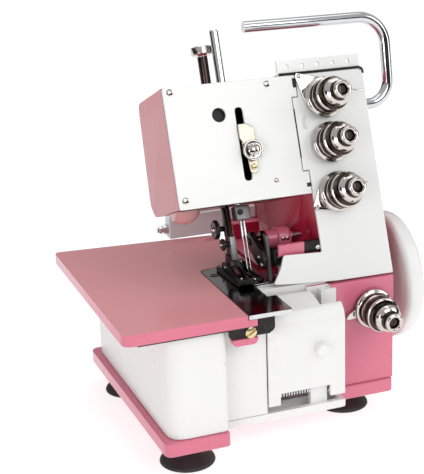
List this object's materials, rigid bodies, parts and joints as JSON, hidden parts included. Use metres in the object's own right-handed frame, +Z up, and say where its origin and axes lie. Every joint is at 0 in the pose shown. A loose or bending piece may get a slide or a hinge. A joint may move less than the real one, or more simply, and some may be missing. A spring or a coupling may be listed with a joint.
{
  "type": "serger overlock sewing machine",
  "caption": "Home serger with leaning white head, pink cast bed, swing-away cloth table, thread tension dials, looper cover, handwheel and a bent chrome carrying handle.",
  "frame": {"origin": "on the floor, below the middle of the whole machine", "axes": "+X towards the handwheel, +Y away from the operator, +Z up"},
  "size_m": [0.254, 0.1876, 0.2825],
  "materials": {
    "pink_paint": "gloss enamel",
    "white_paint": "gloss enamel",
    "white_cover": "gloss moulding",
    "black_rubber": "matt",
    "black_steel": "blackened and oiled",
    "polished_steel": "ground and polished",
    "chrome_rod": "mirror chrome",
    "nickel": "nickel plate",
    "brass_screw": "pale brass plate",
    "grey_cast": "satin",
    "lamp_plastic": "translucent dome"
  },
  "bodies": {
    "machine": {"base_plinth": "pink_paint", "bed_casting": "pink_paint", "head_casting": "pink_paint", "belt_cover": "pink_paint", "knife_shaft_housing": "pink_paint", "knife_rest_arm": "pink_paint", "face_plate": "white_paint", "tension_panel": "white_paint", "top_thread_guide": "white_paint", "left_casing": "white_cover", "front_panel": "white_cover", "chip_tray": "white_cover", "foot_front_left": "black_rubber", "foot_front_right": "black_rubber", "foot_rear_left": "black_rubber", "foot_rear_right": "black_rubber", "drive_belt": "black_rubber", "latch_bracket": "black_steel", "motor_body": "black_steel", "needle_plate": "polished_steel", "lower_knife": "polished_steel", "rear_stud": "polished_steel", "cover_hinge_rod": "polished_steel", "cover_spring": "polished_steel", "presser_spring": "polished_steel", "carrying_handle": "chrome_rod", "tension_seat_1": "nickel", "tension_seat_2": "nickel", "tension_seat_3": "nickel", "tension_seat_4": "nickel", "latch_screw": "brass_screw", "rear_arm": "grey_cast", "lamp_lens": "lamp_plastic"},
    "wheel_shaft": {"main_shaft": "polished_steel", "shaft_pulley": "black_steel", "handwheel": "white_cover"},
    "motor_rotor": {"motor_pulley": "black_steel"},
    "needle_drive": {"needle_bar": "polished_steel", "needle_clamp": "black_steel", "needle_left": "polished_steel", "needle_right": "polished_steel"},
    "take_up": {"take_up_bracket": "nickel", "take_up_screw": "nickel"},
    "presser": {"presser_bar": "black_steel", "presser_foot": "black_steel"},
    "lifter": {"presser_lifter": "black_steel"},
    "pressure_dial": {"pressure_screw": "nickel"},
    "upper_knife": {"knife_arm": "black_steel", "knife_blade": "black_steel"},
    "table": {"cloth_table": "pink_paint"},
    "latch": {"table_latch_lever": "pink_paint"},
    "cover_slider": {"cover_hinge_sleeve": "polished_steel"},
    "cover": {"looper_cover": "white_cover"},
    "looper_low": {"lower_looper": "polished_steel"},
    "looper_up": {"upper_looper": "polished_steel"},
    "feed": {"feed_dog": "polished_steel"},
    "knob_1": {"tension_knob_1": "nickel"},
    "knob_2": {"tension_knob_2": "nickel"},
    "knob_3": {"tension_knob_3": "nickel"},
    "knob_4": {"tension_knob_4": "nickel"}
  },
  "joints": [
    {"name": "handwheel_turn", "type": "hinge", "parent": "machine", "child": "wheel_shaft", "pos_m": [0.06092, -0.0112, 0.0913], "axis": [1, 0, 0], "continuous": true},
    {"name": "motor_turn", "type": "hinge", "parent": "machine", "child": "motor_rotor", "pos_m": [0.07092, 0.0558, 0.062], "axis": [1, 0, 0], "continuous": true},
    {"name": "needle_stroke", "type": "slide", "parent": "machine", "child": "needle_drive", "axis": [0, 0.342, 0.9397], "range_m": [-0.013, 0.009]},
    {"name": "take_up_stroke", "type": "slide", "parent": "machine", "child": "take_up", "axis": [0, 0.342, 0.9397], "range_m": [-0.007, 0.009]},
    {"name": "lifter_turn", "type": "hinge", "parent": "machine", "child": "lifter", "pos_m": [-0.02108, 0.04591, 0.16056], "axis": [0, 0.9397, -0.342], "range_deg": [0, 30]},
    {"name": "presser_lift", "type": "slide", "parent": "machine", "child": "presser", "axis": [0, 0.342, 0.9397], "range_m": [0, 0.006], "deforming": ["presser_spring"]},
    {"name": "pressure_turn", "type": "hinge", "parent": "machine", "child": "pressure_dial", "pos_m": [-0.01888, 0.035, 0.24753], "axis": [0, 0.342, 0.9397], "range_deg": [-360, 360]},
    {"name": "knife_swing", "type": "hinge", "parent": "machine", "child": "upper_knife", "pos_m": [-0.00108, -0.0097, 0.1315], "axis": [1, 0, 0], "range_deg": [-20, 0]},
    {"name": "table_swing", "type": "hinge", "parent": "machine", "child": "table", "pos_m": [-0.00708, 0.0698, 0.106], "axis": [0, 0, 1], "range_deg": [-80, 0]},
    {"name": "latch_turn", "type": "hinge", "parent": "machine", "child": "latch", "pos_m": [-0.03758, -0.0865, 0.0976], "axis": [0, 1, 0], "range_deg": [-8, 0]},
    {"name": "cover_slide", "type": "slide", "parent": "machine", "child": "cover_slider", "axis": [1, 0, 0], "range_m": [0, 0.006], "stiffness_N_per_m": 100, "springref_m": -0.004, "deforming": ["cover_spring"]},
    {"name": "cover_open", "type": "hinge", "parent": "cover_slider", "child": "cover", "pos_m": [0.00092, -0.0697, 0.038], "axis": [1, 0, 0], "range_deg": [0, 92]},
    {"name": "looper_swing", "type": "hinge", "parent": "machine", "child": "looper_low", "pos_m": [-0.01308, -0.0002, 0.058], "axis": [0, 1, 0], "range_deg": [-14, 14]},
    {"name": "upper_looper_swing", "type": "hinge", "parent": "machine", "child": "looper_up", "pos_m": [-0.00108, -0.0002, 0.058], "axis": [0, 1, 0], "range_deg": [-14, 14]},
    {"name": "feed_stroke", "type": "slide", "parent": "machine", "child": "feed", "axis": [0, 1, 0], "range_m": [-0.002, 0.002]},
    {"name": "tension_1_turn", "type": "hinge", "parent": "machine", "child": "knob_1", "pos_m": [0.05392, -0.02276, 0.23503], "axis": [0, -0.9397, 0.342], "range_deg": [-270, 270]},
    {"name": "tension_2_turn", "type": "hinge", "parent": "machine", "child": "knob_2", "pos_m": [0.05392, -0.0337, 0.20496], "axis": [0, -0.9397, 0.342], "range_deg": [-270, 270]},
    {"name": "tension_3_turn", "type": "hinge", "parent": "machine", "child": "knob_3", "pos_m": [0.05392, -0.04584, 0.17161], "axis": [0, -0.9397, 0.342], "range_deg": [-270, 270]},
    {"name": "tension_4_turn", "type": "hinge", "parent": "machine", "child": "knob_4", "pos_m": [0.06942, -0.0702, 0.085], "axis": [0, -1, 0], "range_deg": [-270, 270]}
  ],
  "couplings": [
    {"joint": "motor_turn", "follows": "handwheel_turn", "ratio": 2.75},
    {"joint": "lifter_turn", "follows": "presser_lift", "rad_per_m": 86.957},
    {"joint": "upper_looper_swing", "follows": "looper_swing", "ratio": -1}
  ]
}
